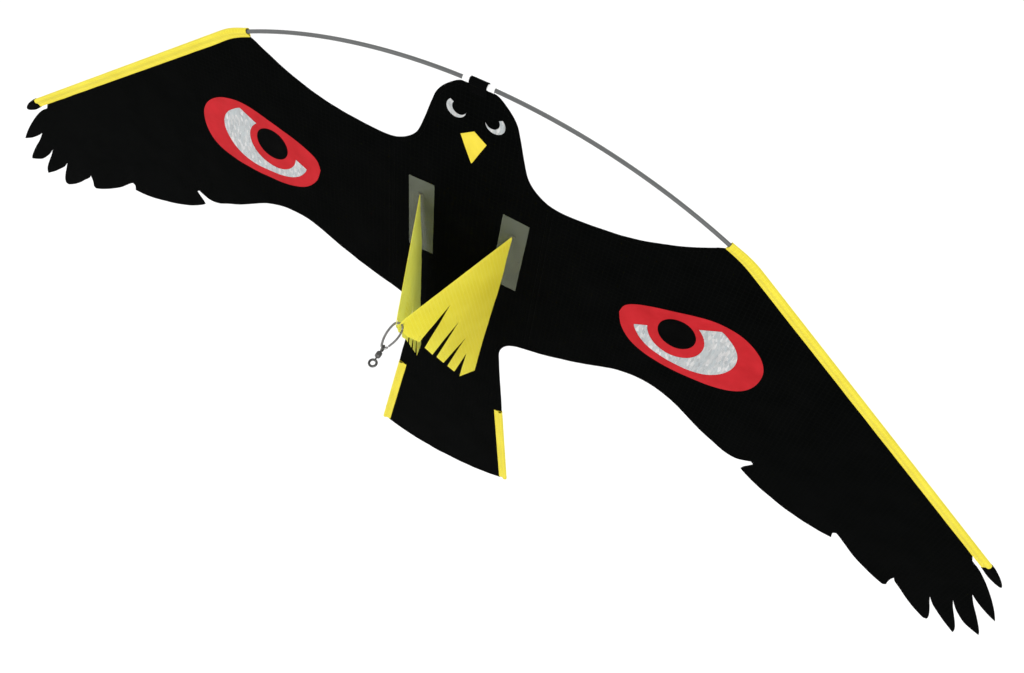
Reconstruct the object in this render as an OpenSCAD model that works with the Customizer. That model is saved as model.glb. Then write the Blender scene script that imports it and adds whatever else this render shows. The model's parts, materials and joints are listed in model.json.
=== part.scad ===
// Bird scarer kite: black bird of prey with yellow sleeves, yellow legs as
// bridle and a snap swivel.  Millimetres.  x is right, y is back, z is up to
// the head.  The origin is the centre of the tow eye.

/* [Sail] */
// thickness of the cloth as a solid
cloth_t = 1; // [0.6:0.1:1.5]
// half width of the centre panel with head, body and tail
centre_half = 88; // [84:1:92]
// gap between centre panel and wing panel
panel_gap = 0.5; // [0.4:0.1:1]
// thickness of the applied film pieces
film_t = 0.3; // [0.2:0.1:0.6]

/* [Spar] */
// radius of the spar rods
rod_r = 2; // [1.5:0.1:3]
// height of the spar over the shoulder line at the head
spar_top = 56.9; // [54:0.1:60]
// bend radius of the free spar between head and sleeve
bow_r = 612.5; // [600:2.5:640]
// slope of the spar where it goes into the sleeve
bow_angle = 24.65; // [24:0.05:25.5]
// bend radius inside the inner end of the sleeve
knee_r = 310; // [280:5:340]
// sweep of the straight sleeve
sweep = 36.6; // [35:0.1:38]
// length of the straight part of the sleeve
sleeve_len = 381.5; // [375:0.5:390]
// radius of the bore in the wing sleeve
sleeve_bore = 2.25; // [2.1:0.05:2.6]
// start of each rod from the centre
rod_start = 5; // [4:0.5:8]
// half length of the joining tube
tube_half = 16; // [14:1:20]
// outer radius of the joining tube
tube_r = 3; // [2.8:0.1:3.4]

/* [Tail] */
// radius of the tail rods
tail_rod_r = 1.5; // [1:0.1:2]
// length of the tail sleeves
tail_len = 150; // [140:1:155]
// slope of the tail sleeves from the horizontal
tail_slope = 81.1; // [80:0.1:83]

/* [Legs] */
// thickness of the leg cloth as a solid
leg_t = 0.8; // [0.6:0.1:1.2]
// radius of the hole for the snap
leg_hole_r = 3.2; // [3:0.1:3.6]
// half distance between the leg apexes
leg_half = 54; // [50:1:58]

/* [Snap swivel] */
// distance of the tow eye in front of the belly
tow_n = 174; // [170:1:178]
// distance of the tow eye below the shoulder line
tow_drop = 160; // [155:1:165]
// radius of the snap wire
wire_r = 1.15; // [1:0.05:1.2]
// radius of the bore of the tow eye
tow_bore_r = 2.5; // [2.3:0.1:2.7]
// radius of the swivel barrel
barrel_r = 2.9; // [2.7:0.1:3.2]

/* [Hidden] */
$fn = 48;
mid_y = tow_n + cloth_t / 2;

// ---- colours
black_c = [0.03, 0.03, 0.035];
yellow_c = [0.97, 0.86, 0.16];
red_c = [0.8, 0.12, 0.13];
silver_c = [0.75, 0.77, 0.78];
rod_c = [0.42, 0.43, 0.44];
clear_c = [0.55, 0.57, 0.52, 0.5];
tube_c = [0.92, 0.92, 0.9];
steel_c = [0.6, 0.6, 0.6];

// ---- smooth curve through hand-set points
function cr(a, b, c, d, t) = 0.5 * ((2 * b) + (c - a) * t
  + (2 * a - 5 * b + 4 * c - d) * t * t + (3 * b - a - 3 * c + d) * t * t * t);
function at(p, i) = p[min(max(i, 0), len(p) - 1)];
function smooth(p, n = 3) = [for (i = [0 : len(p) - 2]) for (k = [0 : n - 1])
  cr(at(p, i - 1), at(p, i), at(p, i + 1), at(p, i + 2), k / n)];
function flip(p) = [for (i = [len(p) - 1 : -1 : 0]) [-p[i][0], p[i][1]]];

// ---- the line of the spar on the right side, in the plane of the sail
knee_in = [bow_r * sin(bow_angle), spar_top - bow_r * (1 - cos(bow_angle))];
knee_mid = knee_in - knee_r * [sin(bow_angle), cos(bow_angle)];
knee_out = knee_mid + knee_r * [sin(sweep), cos(sweep)];
// point at distance l along a line from p with slope s, o mm outside it
function beside(p, s, l, o) = p + l * [cos(s), -sin(s)] + o * [sin(s), cos(s)];
tail_in = [72.5, -418.5];

// sail edge inside the sleeves, outside is positive
tuck = -4.5;
// inner edge of the sleeves
sleeve_in = -7.8;

// ---- outlines
head_side = [[0, 52.3], [9, 52.3], [13, 53], [20, 52], [28.3, 46.4], [36.5, 38.4], [42.4, 29.3],
  [45.8, 19.2], [48.8, 9.2], [51.3, 0], [54.3, -10], [57, -18.5], [60.7, -27.3], [66.7, -35],
  [75, -41.5], [84, -46]];
hip_side = [[78, -279], [69, -283.5], [62.8, -290], [59.3, -298], [58.2, -306],
  [59.8, -320], [62.7, -340], [67.5, -370], [71.8, -397], [74.4, -416.5]];
tail_edge = [beside(tail_in, tail_slope, -1, tuck), beside(tail_in, tail_slope, tail_len - 1, tuck)];
tail_end = [[88, -570.5], [75, -574], [60, -577], [45, -580], [30, -582], [15, -583.3]];
centre_right = concat(smooth(head_side), [[84, -46], [centre_half, -47.2],
  [centre_half, -275.9]], smooth(hip_side), [[74.4, -416.5]], tail_edge, tail_end);

shoulder = [[centre_half + panel_gap, -47.3], [95, -48.3], [105, -48.7], [120, -47.8],
  [140, -46], [160, -43], [180, -38], [200, -31], [220, -22.5], [240, -11.5], [247, -7]];
knee_edge = [for (k = [0 : 6]) let (a = bow_angle + 0.2 + (sweep - bow_angle - 0.2) * k / 6)
  knee_mid + (knee_r + tuck) * [sin(a), cos(a)]];
slot_end = [beside(knee_out, sweep, sleeve_len - 22, tuck),
  beside(knee_out, sweep, sleeve_len - 20, sleeve_in - 0.4)];
feather_1 = [[600, -262], [612.6, -272], [626.7, -287.5], [641.7, -307], [653.7, -324.5], [660.8, -336.5], [664.2, -343]];
feather_1b = [[664.2, -343], [655, -338], [645, -331.5], [634, -323], [626, -315.5]];
feather_2 = [[626, -315.5], [635, -331], [646, -347], [656, -362.5], [662, -373], [664, -378.5]];
feather_2b = [[664, -378.5], [654, -374.3], [643, -368.7], [633, -359.7], [625, -351], [617, -339.5]];
feather_3 = [[617, -339.5], [622.7, -351.5], [630.6, -365.5], [638.6, -380], [642.7, -390], [643.5, -396.5]];
feather_3b = [[643.5, -396.5], [638, -392.5], [629, -386], [618, -376.5], [606, -365.5], [598, -354.5]];
feather_4 = [[598, -354.5], [602.5, -365], [608.5, -378], [613.5, -391], [614.6, -399], [611, -401]];
feather_4b = [[611, -401], [603, -396.6], [593, -389.7], [581, -379.7], [571, -370], [561, -361], [557.5, -355]];
feather_5 = [[557.5, -355], [556, -360], [555.5, -367], [556, -373], [553, -375.5]];
feather_5b = [[553, -375.5], [546, -372.7], [536, -367.7], [521, -359.2], [506, -349], [496, -340.5], [486, -331.4], [480, -327]];
feather_6 = [[480, -327], [477, -329.5], [477.5, -334], [478.5, -338.5]];
feather_6b = [[478.5, -338.5], [461, -337.7], [441, -333.7], [421, -327.8], [401, -320],
  [386, -313.3], [373, -306], [363, -299.2], [358, -295]];
feather_7 = [[358, -295], [360, -289.5], [364, -284], [367.5, -278.5]];
trailing = [[364, -275.5], [357, -279], [350, -281.8], [343, -282], [333, -279.8], [320, -273],
  [300, -263], [280, -250.3], [260, -238.4], [240, -231.2], [225, -229.2], [210, -230],
  [195, -233.2], [180, -240], [160, -250.2], [140, -259], [120, -266.2], [105, -271.4],
  [centre_half + panel_gap, -275.7]];
wing_right = concat(smooth(shoulder), [[247, -7]], knee_edge, slot_end, smooth(feather_1),
  smooth(feather_1b), smooth(feather_2), smooth(feather_2b), smooth(feather_3),
  smooth(feather_3b), smooth(feather_4), smooth(feather_4b), smooth(feather_5),
  smooth(feather_5b), smooth(feather_6), smooth(feather_6b), smooth(feather_7),
  [[367.5, -278.5]], smooth(trailing, 2), [trailing[len(trailing) - 1]]);

// leg pattern: along the taut edge, across to the hanging edge
leg_pts = [[1.4, -1.4], [138, -4], [147, -1], [142, 29], [133, 55], [85, 31], [130, 74],
  [125, 101], [81.5, 75.5], [121, 117], [116, 142], [79, 123], [113, 156], [107.5, 182],
  [85, 161], [103, 204], [83, 219], [1.4, 2.2]];
leg_hole = [142, 3];
// leg corners in sail coordinates: across, along, out of the belly
leg_a = [leg_half, -108, 1];
leg_p = [1, -150, 131];
leg_q = [36, -345, 14];

// ---- helpers
function unit(v) = v / norm(v);
function to_world(p) = [p[0], tow_n - p[2], p[1] + tow_drop];

// flat piece of thickness t, its back n mm in front of the belly face
module on_sail(n, t) {
  translate([0, tow_n - n, tow_drop]) rotate([90, 0, 0]) linear_extrude(height = t) children();
}
// a line in the plane of the sail from p with slope s, outlines drawn with
// x to the inside of the line
module along_line(p, s, l) {
  translate([p[0], mid_y, p[1] + tow_drop]) rotate([0, 90 + s, 0]) linear_extrude(height = l) children();
}
// an arc in the plane of the sail, outlines drawn with x to the outside
module along_arc(c, r, a0, a1) {
  translate([c[0], mid_y, c[1] + tow_drop]) rotate([90, 0, 0]) rotate([0, 0, 90 - a1])
    rotate_extrude(angle = a1 - a0, $fn = 180) translate([r, 0]) children();
}
module sleeve_shape(r_out, r_bore, flat_t, play = 0.1) {
  difference() {
    union() {
      circle(r = r_out);
      translate([0, -flat_t / 2]) square([-sleeve_in, flat_t]);
    }
    circle(r = r_bore);
    translate([-tuck - play, -cloth_t / 2 - play / 2]) square([10, cloth_t + play]);
  }
}
module side(s) {
  if (s > 0) children();
  else mirror([1, 0, 0]) children();
}

// ---- airframe
module sail_centre() {
  color(black_c) on_sail(-cloth_t, cloth_t)
    polygon(concat(centre_right, [[0, -583.7]], flip([for (i = [1 : len(centre_right) - 1]) centre_right[i]])));
}
module head_loop() {
  color(black_c) difference() {
    union() {
      translate([-9, mid_y, spar_top + tow_drop]) rotate([0, 90, 0]) cylinder(r = tube_r + 1.4, h = 18);
      translate([-9, tow_n + cloth_t, tow_drop + 36]) cube([18, 0.8, 19]);
    }
    translate([-10, mid_y, spar_top + tow_drop]) rotate([0, 90, 0]) cylinder(r = tube_r + 0.85, h = 20);
  }
}
module centre_tube() {
  a = asin(tube_half / bow_r);
  color(tube_c) along_arc([0, spar_top - bow_r], bow_r, -a, a) difference() {
    circle(r = tube_r);
    circle(r = rod_r + 0.06);
  }
}
module beak() {
  color(yellow_c) on_sail(0, film_t) polygon([[0, 2.5], [14, -7], [0, -38], [-14, -7]]);
}
module head_eye(s) {
  color(silver_c) side(s) on_sail(0, film_t) translate([20.5, 20.5]) difference() {
    circle(r = 10.3);
    translate([-3.2, 1.5]) circle(r = 7.6);
    translate([-11, -2]) rotate(29.5) translate([-5, 0]) square([45, 20]);
  }
}
module leg_patch(s) {
  color(clear_c) side(s) on_sail(0, film_t) translate([52.5, -137.6 + 2.1 * s]) rotate(-1.9 - 0.7 * s) square([30, 102], center = true);
}
module leg_tack(s) {
  color(yellow_c) side(s) translate(to_world([leg_half - 2.5, leg_a[1], film_t + 0.6]))
    rotate([0, 90, 0]) cylinder(r = 0.6, h = 5);
}
module tail_sleeve(s) {
  color(yellow_c) side(s) along_line(tail_in, tail_slope, tail_len) sleeve_shape(2.7, tail_rod_r + 0.25, 2.4);
}
module tail_rod(s) {
  color(rod_c) side(s) along_line(beside(tail_in, tail_slope, 4, 0), tail_slope, tail_len - 8) circle(r = tail_rod_r);
}

// ---- wings
module wing_panel(s) {
  color(black_c) side(s) on_sail(-cloth_t, cloth_t) polygon(wing_right);
}
module wing_sleeve(s) {
  color(yellow_c) side(s) union() {
    along_arc(knee_mid, knee_r, bow_angle, sweep) mirror([1, 0]) sleeve_shape(3.2, sleeve_bore, 2.6);
    along_line(knee_out, sweep, sleeve_len) sleeve_shape(3.2, sleeve_bore, 2.6);
    along_line(beside(knee_out, sweep, -1.5, 0), sweep, 3) sleeve_shape(3.25, sleeve_bore - 0.05, 2.7, 0.06);
  }
}
module spar(s) {
  color(rod_c) side(s) union() {
    along_arc([0, spar_top - bow_r], bow_r, asin(rod_start / bow_r), bow_angle) circle(r = rod_r);
    along_arc(knee_mid, knee_r, bow_angle, sweep) circle(r = rod_r);
    along_line(knee_out, sweep, sleeve_len + 6) circle(r = rod_r);
    along_line(beside(knee_in, bow_angle, -1, 0), bow_angle, 2) circle(r = rod_r + 0.03);
    along_line(beside(knee_out, sweep, -1, 0), sweep, 2) circle(r = rod_r + 0.03);
  }
}
module tip_pocket(s) {
  e = beside(knee_out, sweep, sleeve_len, 0);
  color(black_c) side(s) difference() {
    translate([e[0], mid_y + 2.6, e[1] + tow_drop]) rotate([90, 0, 0]) rotate([0, 0, -sweep])
      linear_extrude(height = 5.2) polygon(concat(smooth([[0.1, 3], [8, 2.4], [16, 1.3], [24, -0.6], [29, -2.6], [31, -4]]),
        smooth([[31, -4], [31.2, -5.2], [29.8, -6.2], [24, -7.9], [12, -9.2], [0.1, -8.2]]), [[0.1, -8.2]]));
    along_line(beside(knee_out, sweep, sleeve_len - 2, 0), sweep, 9) circle(r = sleeve_bore);
  }
}

// ---- wing eyes: field, foil and pupil around the middle of the pupil
field_pts = [[-60, 4], [-54, 16], [-38, 24], [-14, 29], [12, 33], [34, 35], [54, 32], [72, 23], [86, 8],
  [92, -10], [89, -29], [80, -44], [66, -53], [46, -57], [20, -56], [-6, -52], [-28, -45], [-46, -33],
  [-57, -15], [-60, 4]];
foil_pts = [[-44, -2], [-42, -12], [-35, -24], [-23, -34], [-5, -41], [17, -45], [36, -43], [52, -34],
  [62, -20], [65, -6], [62, 7], [54, 18], [42, 27], [16, 30], [-20, 16], [-44, -2]];
module on_eye(s, n, t) {
  side(s) on_sail(n, t) translate([239, -138]) rotate(9) children();
}
module eye_field(s) {
  color(red_c) on_eye(s, 0, film_t) polygon(smooth(field_pts, 5));
}
module eye_foil(s) {
  color(silver_c) on_eye(s, film_t, film_t) difference() {
    polygon(smooth(foil_pts, 5));
    translate([1, -2]) circle(r = 30);
    translate([-60, -12.6]) rotate(20) square([160, 60]);
  }
}
module eye_pupil(s) {
  color(black_c) on_eye(s, film_t, film_t) translate([2, 1]) circle(r = 20);
}

// ---- legs
module leg(s) {
  u = unit(to_world(leg_p) - to_world(leg_a));
  w = unit(cross(u, to_world(leg_q) - to_world(leg_a)));
  v = cross(w, u);
  o = to_world(leg_a);
  color(yellow_c) side(s)
    multmatrix([[u[0], v[0], w[0], o[0]], [u[1], v[1], w[1], o[1]], [u[2], v[2], w[2], o[2]], [0, 0, 0, 1]])
    translate([0, 0, -leg_t / 2]) linear_extrude(height = leg_t) difference() {
      polygon(leg_pts);
      translate(leg_hole) circle(r = leg_hole_r);
    }
}

// ---- snap and swivel, z runs from the tow eye to the holes of the legs
leg_u = unit(leg_p - leg_a);
leg_v = cross(unit(cross(leg_u, leg_q - leg_a)), leg_u);
hole_at = to_world(leg_a + leg_hole[0] * leg_u + leg_hole[1] * leg_v);
chain_len = norm([hole_at[1], hole_at[2]]);
chain_tilt = atan2(hole_at[1], hole_at[2]);
// snap wire: wide end, narrow end, bowed sides
snap_r1 = 5;
snap_r2 = 3.2;
snap_side = 42;
link_z = 17.8;
link_r = 3;
link_wire = 0.9;
snap_z1 = chain_len - sqrt(snap_r1 * snap_r1 - hole_at[0] * hole_at[0]);
snap_z2 = link_z + 0.65 + snap_r2;
snap_d = snap_z1 - snap_z2;
side_a = (snap_d * snap_d + pow(snap_side - snap_r2, 2) - pow(snap_side - snap_r1, 2)) / (2 * snap_d);
side_x = sqrt(pow(snap_side - snap_r2, 2) - side_a * side_a);
side_z = snap_z2 + side_a;
turn_1 = atan2(snap_d - side_a, side_x);
turn_2 = atan2(side_a, side_x);
// the gate starts a little beside the narrow end and rests beside the hook end
gate_from = 3.8 - turn_2;
gate_to = turn_1 - 1;
gate_lean = 7.2;
barrel_z0 = 6.9;
barrel_z1 = 13.5;

module chain() {
  rotate([-chain_tilt, 0, 0]) children();
}
function on_arc(x, z, r, a) = [x + r * cos(a), 0, z + r * sin(a)];
// arc of wire in the plane of the snap
module wire_arc(x, z, r, a0, a1, w = wire_r) {
  translate([x, 0, z]) rotate([90, 0, 0]) rotate([0, 0, a0])
    rotate_extrude(angle = a1 - a0) translate([r, 0]) circle(r = w);
}
module snap_hook() {
  color(steel_c) chain() union() {
    wire_arc(0, snap_z1, snap_r1, turn_1, 180 - turn_1);
    wire_arc(side_x, side_z, snap_side, 180 - turn_1, 180 + turn_2);
    wire_arc(0, snap_z2, snap_r2, 180 + turn_2, 360 - turn_2);
    translate(on_arc(0, snap_z1, snap_r1, turn_1)) sphere(r = wire_r + 0.05);
    translate(on_arc(0, snap_z1, snap_r1, 180 - turn_1)) sphere(r = wire_r + 0.04);
    translate(on_arc(0, snap_z2, snap_r2, 180 + turn_2)) sphere(r = wire_r + 0.04);
    translate(on_arc(0, snap_z2, snap_r2, -turn_2)) sphere(r = wire_r + 0.05);
  }
}
module snap_gate() {
  base = on_arc(-side_x, side_z, snap_side, gate_from);
  color(steel_c) chain() translate(base) rotate([-gate_lean, 0, 0]) translate(-base) union() {
    wire_arc(-side_x, side_z, snap_side, gate_from, gate_to, wire_r - 0.1);
    translate(base) sphere(r = wire_r);
    translate(on_arc(-side_x, side_z, snap_side, gate_to)) sphere(r = wire_r);
  }
}
module link_eye() {
  color(steel_c) chain() union() {
    translate([0, 0, link_z]) rotate([0, 90, 0]) rotate_extrude() translate([link_r, 0]) circle(r = link_wire);
    translate([0, 0, barrel_z1 - 2.8]) cylinder(r = 0.8, h = link_z - link_r - barrel_z1 + 3);
    translate([0, 0, barrel_z1 - 2.8]) cylinder(r = 1.4, h = 1);
  }
}
module swivel_barrel() {
  color(steel_c) chain() rotate_extrude() polygon([
    [0.86, barrel_z0], [1.9, barrel_z0], [2.5, barrel_z0 + 0.5], [barrel_r, barrel_z0 + 1.4],
    [barrel_r, barrel_z1 - 1.4], [2.5, barrel_z1 - 0.5], [1.9, barrel_z1],
    [0.86, barrel_z1], [0.86, barrel_z1 - 1.2], [1.75, barrel_z1 - 1.2],
    [1.75, barrel_z0 + 1.2], [0.86, barrel_z0 + 1.2]]);
}
module tow_eye() {
  color(steel_c) chain() union() {
    rotate([90, 0, 0]) rotate_extrude() union() {
      translate([tow_bore_r + 1.15, 0]) circle(r = 1.15);
      translate([tow_bore_r, -0.5]) square([1.15, 1]);
    }
    translate([0, 0, tow_bore_r + 1.1]) cylinder(r = 0.8, h = barrel_z0 + 2.6 - tow_bore_r - 1.1);
    translate([0, 0, barrel_z0 + 1.6]) cylinder(r = 1.4, h = 1);
  }
}

sail_centre();
head_loop();
centre_tube();
beak();
head_eye(-1);  // head_eye_left
head_eye(1);  // head_eye_right
leg_patch(-1);  // leg_patch_left
leg_patch(1);  // leg_patch_right
leg_tack(-1);  // leg_tack_left
leg_tack(1);  // leg_tack_right
tail_sleeve(-1);  // tail_sleeve_left
tail_sleeve(1);  // tail_sleeve_right
tail_rod(-1);  // tail_rod_left
tail_rod(1);  // tail_rod_right
wing_panel(-1);  // wing_panel_left
wing_panel(1);  // wing_panel_right
wing_sleeve(-1);  // wing_sleeve_left
wing_sleeve(1);  // wing_sleeve_right
spar(-1);  // spar_left
spar(1);  // spar_right
tip_pocket(-1);  // tip_pocket_left
tip_pocket(1);  // tip_pocket_right
eye_field(-1);  // eye_field_left
eye_field(1);  // eye_field_right
eye_foil(-1);  // eye_foil_left
eye_foil(1);  // eye_foil_right
eye_pupil(-1);  // eye_pupil_left
eye_pupil(1);  // eye_pupil_right
leg(-1);  // leg_left
leg(1);  // leg_right
snap_hook();
snap_gate();
link_eye();
swivel_barrel();
tow_eye();
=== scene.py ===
import json
import math

import bmesh
import bpy
import numpy as np
from mathutils import Matrix, Vector, noise
from mathutils.geometry import delaunay_2d_cdt
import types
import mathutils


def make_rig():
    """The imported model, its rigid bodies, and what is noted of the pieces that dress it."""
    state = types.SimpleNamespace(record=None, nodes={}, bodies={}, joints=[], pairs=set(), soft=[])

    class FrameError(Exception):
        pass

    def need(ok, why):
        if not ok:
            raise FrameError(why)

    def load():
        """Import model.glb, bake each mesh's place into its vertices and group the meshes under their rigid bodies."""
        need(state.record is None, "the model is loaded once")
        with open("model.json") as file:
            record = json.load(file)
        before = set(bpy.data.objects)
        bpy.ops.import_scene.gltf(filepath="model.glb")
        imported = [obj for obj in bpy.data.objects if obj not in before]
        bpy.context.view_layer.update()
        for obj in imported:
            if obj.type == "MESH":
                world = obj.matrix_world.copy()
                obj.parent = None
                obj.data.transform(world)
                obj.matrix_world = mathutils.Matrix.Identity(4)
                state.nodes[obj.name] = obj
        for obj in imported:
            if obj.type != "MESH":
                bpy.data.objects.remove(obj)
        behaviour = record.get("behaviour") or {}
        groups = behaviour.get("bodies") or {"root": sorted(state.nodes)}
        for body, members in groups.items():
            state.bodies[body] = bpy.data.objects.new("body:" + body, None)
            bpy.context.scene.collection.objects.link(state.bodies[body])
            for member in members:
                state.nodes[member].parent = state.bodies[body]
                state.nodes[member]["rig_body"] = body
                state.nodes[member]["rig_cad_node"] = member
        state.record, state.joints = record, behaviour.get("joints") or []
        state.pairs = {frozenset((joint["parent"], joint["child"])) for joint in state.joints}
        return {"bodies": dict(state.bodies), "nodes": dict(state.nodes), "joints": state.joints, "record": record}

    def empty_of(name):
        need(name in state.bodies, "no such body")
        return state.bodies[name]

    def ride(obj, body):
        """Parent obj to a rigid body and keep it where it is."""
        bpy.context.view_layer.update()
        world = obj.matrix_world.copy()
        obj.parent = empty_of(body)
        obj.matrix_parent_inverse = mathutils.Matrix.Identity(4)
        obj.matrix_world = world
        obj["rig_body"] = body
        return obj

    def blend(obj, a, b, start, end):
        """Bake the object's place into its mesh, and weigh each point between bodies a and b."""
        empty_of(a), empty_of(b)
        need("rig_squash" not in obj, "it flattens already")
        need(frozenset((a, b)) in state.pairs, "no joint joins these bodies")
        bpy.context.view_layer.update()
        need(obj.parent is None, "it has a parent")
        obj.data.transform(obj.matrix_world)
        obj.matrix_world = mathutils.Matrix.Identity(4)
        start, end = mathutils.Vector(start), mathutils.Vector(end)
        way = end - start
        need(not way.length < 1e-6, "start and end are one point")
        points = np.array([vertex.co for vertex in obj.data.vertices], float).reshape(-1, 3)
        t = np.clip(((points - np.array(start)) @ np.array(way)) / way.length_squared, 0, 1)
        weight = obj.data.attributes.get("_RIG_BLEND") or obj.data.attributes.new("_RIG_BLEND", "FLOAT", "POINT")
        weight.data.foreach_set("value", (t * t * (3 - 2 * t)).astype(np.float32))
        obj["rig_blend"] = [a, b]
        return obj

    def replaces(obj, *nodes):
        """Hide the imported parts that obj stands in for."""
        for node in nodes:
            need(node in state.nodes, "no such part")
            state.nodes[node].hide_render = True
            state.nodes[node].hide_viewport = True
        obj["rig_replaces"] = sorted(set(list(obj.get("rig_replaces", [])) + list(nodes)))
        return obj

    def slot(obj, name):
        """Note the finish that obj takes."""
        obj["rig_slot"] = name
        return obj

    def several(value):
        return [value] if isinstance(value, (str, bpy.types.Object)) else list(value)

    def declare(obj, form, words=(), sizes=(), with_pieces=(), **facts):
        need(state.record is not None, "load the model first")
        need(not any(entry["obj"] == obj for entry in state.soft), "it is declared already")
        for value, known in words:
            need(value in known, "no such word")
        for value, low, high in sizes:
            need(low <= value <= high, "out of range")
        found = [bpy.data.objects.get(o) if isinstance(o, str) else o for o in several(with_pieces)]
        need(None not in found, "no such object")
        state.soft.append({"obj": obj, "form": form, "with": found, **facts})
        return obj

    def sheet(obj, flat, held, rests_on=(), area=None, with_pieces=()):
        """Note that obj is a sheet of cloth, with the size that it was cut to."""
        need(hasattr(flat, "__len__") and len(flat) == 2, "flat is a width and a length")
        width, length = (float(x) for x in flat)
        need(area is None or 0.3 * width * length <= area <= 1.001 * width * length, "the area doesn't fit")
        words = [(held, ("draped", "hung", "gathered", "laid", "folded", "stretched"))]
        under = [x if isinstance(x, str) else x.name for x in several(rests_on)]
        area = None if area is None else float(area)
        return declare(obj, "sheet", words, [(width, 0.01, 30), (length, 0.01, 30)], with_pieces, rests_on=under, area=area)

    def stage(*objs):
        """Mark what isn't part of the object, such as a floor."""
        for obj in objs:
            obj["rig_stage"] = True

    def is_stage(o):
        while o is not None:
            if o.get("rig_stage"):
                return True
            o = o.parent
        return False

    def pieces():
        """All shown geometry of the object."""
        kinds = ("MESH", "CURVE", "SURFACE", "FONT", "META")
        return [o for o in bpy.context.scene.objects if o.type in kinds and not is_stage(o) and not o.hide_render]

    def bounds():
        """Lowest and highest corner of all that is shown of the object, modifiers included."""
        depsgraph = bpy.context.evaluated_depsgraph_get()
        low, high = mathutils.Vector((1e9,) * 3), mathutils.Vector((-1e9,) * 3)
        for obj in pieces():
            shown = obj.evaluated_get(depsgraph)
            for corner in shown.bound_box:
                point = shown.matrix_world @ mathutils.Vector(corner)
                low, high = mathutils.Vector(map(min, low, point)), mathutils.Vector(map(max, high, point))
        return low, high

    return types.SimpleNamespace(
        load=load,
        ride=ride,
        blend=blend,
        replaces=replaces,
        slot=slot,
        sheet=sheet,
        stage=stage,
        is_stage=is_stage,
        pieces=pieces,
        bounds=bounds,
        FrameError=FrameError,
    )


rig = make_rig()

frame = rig.load()
cad_lo, cad_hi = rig.bounds()
nodes = frame["nodes"]

# ------------------------------------------------------------------ camera
cam_data = bpy.data.cameras.new("camera")
cam_data.sensor_width = 36
cam_data.lens = 34.453
cam_data.clip_start = 0.01
cam_data.clip_end = 100
cam = bpy.data.objects.new("camera", cam_data)
bpy.context.scene.collection.objects.link(cam)
cam.matrix_world = Matrix((
    (0.87822, -0.42980, 0.20978, 0.30190),
    (0.46669, 0.67421, -0.57241, -0.45613),
    (0.10459, 0.60060, 0.79268, 0.77008),
    (0, 0, 0, 1)))
bpy.context.scene.camera = cam
bpy.context.scene.view_settings.view_transform = "Standard"

# ------------------------------------------------------------------ sail coordinates
# x right, y to the head, n out of the belly, in millimetres
BELLY, DROP = 174.0, 160.0
MID = -0.5           # middle of the cloth
CLOTH = 0.44         # thickness of the cloth
FRONT, BACK = MID + CLOTH / 2, MID - CLOTH / 2
BLEND_A, BLEND_B = 88.25, 250.0


def world(x, y, n):
    return (x / 1000, (BELLY - n) / 1000, (y + DROP) / 1000)


def rad(a):
    return math.radians(a)


# the line of the spar
BOW_R, BOW_A, TOP = 612.5, 24.65, 56.9
KNEE_R, SWEEP, SLEEVE_LEN = 310.0, 36.6, 381.5
knee_in = np.array([BOW_R * math.sin(rad(BOW_A)), TOP - BOW_R * (1 - math.cos(rad(BOW_A)))])
knee_mid = knee_in - KNEE_R * np.array([math.sin(rad(BOW_A)), math.cos(rad(BOW_A))])
knee_out = knee_mid + KNEE_R * np.array([math.sin(rad(SWEEP)), math.cos(rad(SWEEP))])
tail_in = np.array([72.5, -418.5])
TAIL_SLOPE, TAIL_LEN = 81.1, 150.0


def beside(p, s, l, o=0.0):
    return np.array(p) + l * np.array([math.cos(rad(s)), -math.sin(rad(s))]) + o * np.array([math.sin(rad(s)), math.cos(rad(s))])


def smooth(x, a, b):
    t = min(max((x - a) / (b - a), 0.0), 1.0)
    return t * t * (3 - 2 * t)


def sleeve_path(step=3.0, start=0.0, stop=SLEEVE_LEN):
    """Stations along the wing sleeve: point, outward direction, length from the inner end."""
    out = []
    knee_len = KNEE_R * rad(SWEEP - BOW_A)
    k = max(int(knee_len / step), 4)
    for i in range(k):
        a = rad(BOW_A + (SWEEP - BOW_A) * i / k)
        d = np.array([math.sin(a), math.cos(a)])
        out.append((knee_mid + KNEE_R * d, d, knee_len * i / k))
    d = np.array([math.sin(rad(SWEEP)), math.cos(rad(SWEEP))])
    k = int((stop - start) / step)
    for i in range(k + 1):
        l = start + (stop - start) * i / k
        out.append((beside(knee_out, SWEEP, l), d, knee_len + l))
    return out


def tail_path(step=3.0):
    d = np.array([math.sin(rad(TAIL_SLOPE)), math.cos(rad(TAIL_SLOPE))])
    k = int(TAIL_LEN / step)
    return [(beside(tail_in, TAIL_SLOPE, TAIL_LEN * i / k), d, TAIL_LEN * i / k) for i in range(k + 1)]


def off_sleeve(x, y):
    """Distance from the line of the wing sleeve and the tail sleeve."""
    x = abs(x)
    p = np.array([x, y])
    a, b = knee_out, beside(knee_out, SWEEP, SLEEVE_LEN)
    t = min(max(float((p - a) @ (b - a)) / float((b - a) @ (b - a)), 0), 1)
    d1 = float(np.linalg.norm(p - a - t * (b - a)))
    if x < knee_out[0]:
        d1 = min(d1, abs(float(np.linalg.norm(p - knee_mid)) - KNEE_R) if x > knee_in[0] - 3 else float(np.linalg.norm(p - knee_in)))
    a, b = tail_in, beside(tail_in, TAIL_SLOPE, TAIL_LEN)
    t2 = min(max(float((p - a) @ (b - a)) / float((b - a) @ (b - a)), 0), 1)
    d2 = float(np.linalg.norm(p - a - t2 * (b - a)))
    return d1, d2, t


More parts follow.
